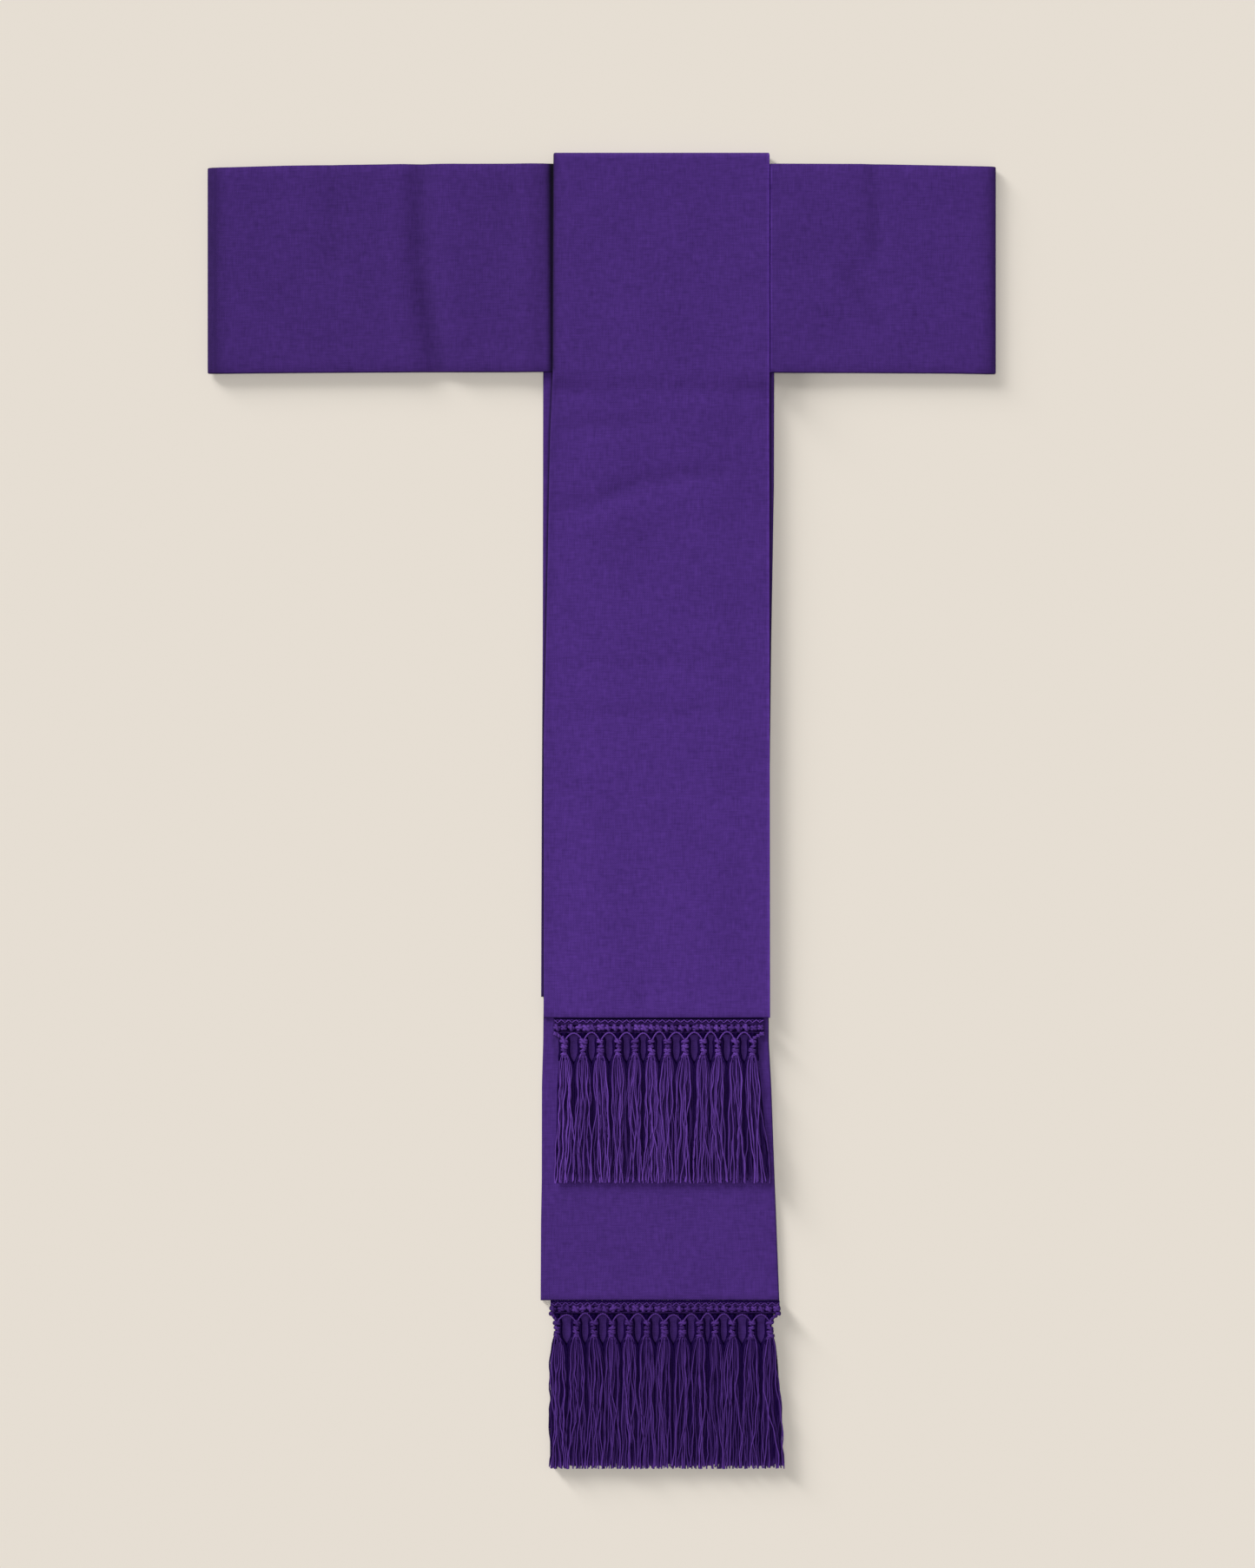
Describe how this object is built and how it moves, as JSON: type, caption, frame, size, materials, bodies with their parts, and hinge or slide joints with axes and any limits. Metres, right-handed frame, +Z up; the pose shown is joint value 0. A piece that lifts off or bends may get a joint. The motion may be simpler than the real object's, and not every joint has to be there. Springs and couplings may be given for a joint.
{
  "type": "cassock fascia",
  "caption": "Purple cassock fascia laid flat: a waistband loop with a front and a longer back fall, each ending in a knotted tassel fringe.",
  "frame": {"origin": "under the middle of the whole fascia, on the surface it lies on", "axes": "+X to the right across the waistband, +Y from the back fringe towards the fold of the falls over the waistband, +Z up from the surface"},
  "size_m": [0.4994, 0.8328, 0.0075],
  "materials": {
    "fascia_cloth": "matte plain-weave purple cloth",
    "fringe_yarn": "twisted purple yarn with a soft lustre"
  },
  "bodies": {
    "root": {"waistband_front": "fascia_cloth", "waistband_back": "fascia_cloth", "front_fall": "fascia_cloth", "back_fall_upper": "fascia_cloth", "back_fall_lower": "fascia_cloth", "back_fringe_tape": "fascia_cloth", "front_fringe_heading": "fringe_yarn", "back_fringe_heading": "fringe_yarn", "front_tassel_01": "fringe_yarn", "front_tassel_02": "fringe_yarn", "front_tassel_03": "fringe_yarn", "front_tassel_04": "fringe_yarn", "front_tassel_05": "fringe_yarn", "front_tassel_06": "fringe_yarn", "front_tassel_07": "fringe_yarn", "front_tassel_08": "fringe_yarn", "front_tassel_09": "fringe_yarn", "front_tassel_10": "fringe_yarn", "front_tassel_11": "fringe_yarn", "front_tassel_12": "fringe_yarn", "back_tassel_01": "fringe_yarn", "back_tassel_02": "fringe_yarn", "back_tassel_03": "fringe_yarn", "back_tassel_04": "fringe_yarn", "back_tassel_05": "fringe_yarn", "back_tassel_06": "fringe_yarn", "back_tassel_07": "fringe_yarn", "back_tassel_08": "fringe_yarn", "back_tassel_09": "fringe_yarn", "back_tassel_10": "fringe_yarn", "back_tassel_11": "fringe_yarn", "back_tassel_12": "fringe_yarn", "back_tassel_13": "fringe_yarn"}
  },
  "joints": []
}
